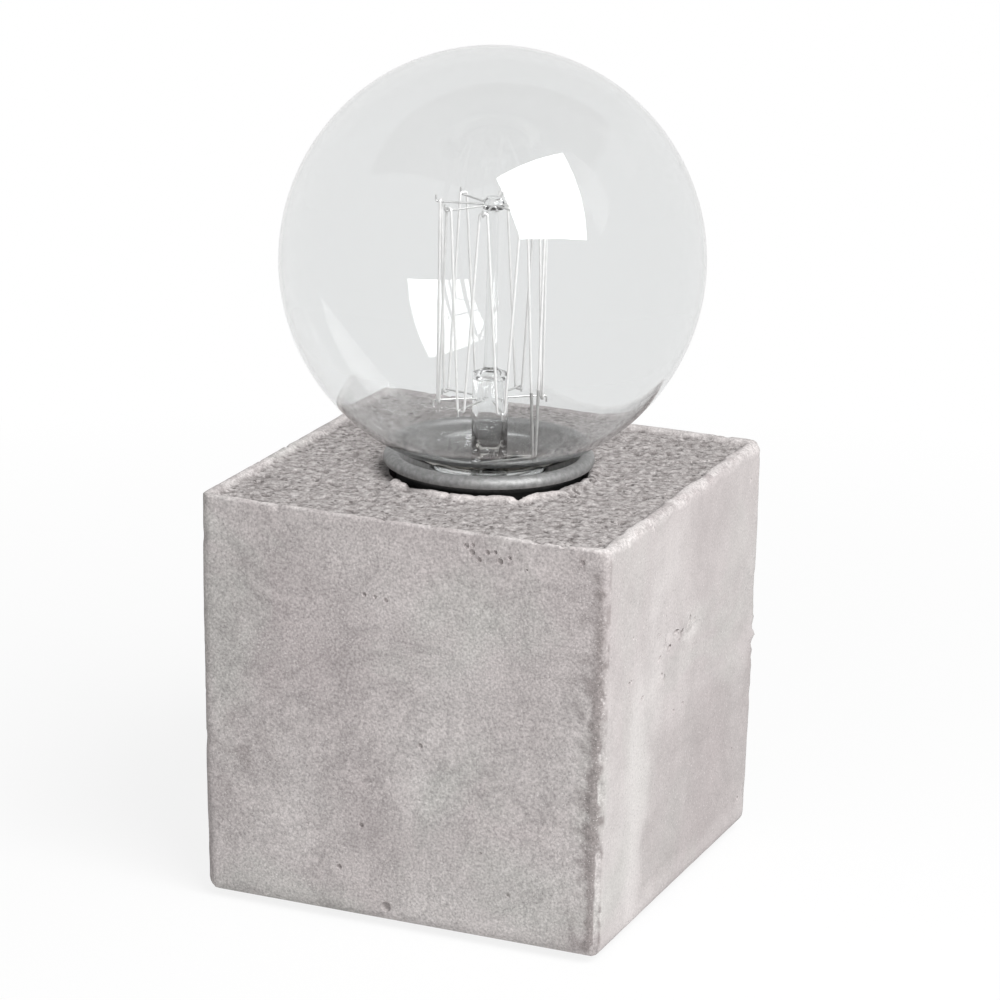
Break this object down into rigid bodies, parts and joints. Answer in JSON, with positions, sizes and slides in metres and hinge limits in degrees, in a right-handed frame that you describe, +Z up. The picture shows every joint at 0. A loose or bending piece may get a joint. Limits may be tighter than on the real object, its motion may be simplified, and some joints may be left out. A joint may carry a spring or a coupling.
{
  "type": "table lamp",
  "caption": "Cast concrete cube with a screw lampholder sunk into its top, holding a large clear globe bulb with a long zigzag filament.",
  "frame": {"origin": "on the table, under the middle of the cube, at the underside of its felt pad", "axes": "+Z up along the bulb's axis, +Y to the back where the cable enters, +X to the right"},
  "size_m": [0.0978, 0.0968, 0.1914],
  "materials": {
    "felt": "matte",
    "concrete": "matte",
    "bush_plastic": "satin",
    "zinc_steel": "satin",
    "cup_metal": "satin",
    "socket_ceramic": "gloss",
    "contact_brass": "satin",
    "clear_glass": "gloss",
    "cap_nickel": "satin",
    "black_glass": "gloss",
    "cement": "matte",
    "wire_metal": "satin",
    "filament_metal": "satin"
  },
  "bodies": {
    "base": {"felt_pad": "felt", "concrete_block": "concrete", "cable_bush": "bush_plastic", "threaded_nipple": "zinc_steel", "upper_nut": "zinc_steel", "lock_washer": "zinc_steel", "spread_washer": "zinc_steel", "lower_nut": "zinc_steel", "holder_cup": "cup_metal", "socket_bracket": "zinc_steel", "bracket_screws": "zinc_steel", "lamp_socket": "socket_ceramic", "screw_shell": "contact_brass", "centre_contact": "contact_brass", "centre_terminal": "contact_brass", "shell_terminal": "contact_brass", "terminal_screws": "zinc_steel"},
    "bulb_tip": {"end_contact": "contact_brass"},
    "bulb": {"glass_globe": "clear_glass", "cap_shell": "cap_nickel", "cap_insulator": "black_glass", "cap_cement": "cement", "glass_stem": "clear_glass", "exhaust_tube": "clear_glass", "glass_rod": "clear_glass", "top_hooks": "wire_metal", "bottom_hooks": "wire_metal", "filament": "filament_metal", "lead_wires": "wire_metal"}
  },
  "joints": [
    {"name": "bulb_lift", "type": "slide", "parent": "base", "child": "bulb_tip", "axis": [0, 0, 1], "range_m": [0, 0.01634]},
    {"name": "bulb_turn", "type": "hinge", "parent": "bulb_tip", "child": "bulb", "pos_m": [0, 0, 0.1], "axis": [0, 0, 1], "range_deg": [0, 1620]}
  ],
  "couplings": [
    {"joint": "bulb_lift", "follows": "bulb_turn", "m_per_rad": 0.00057757}
  ]
}
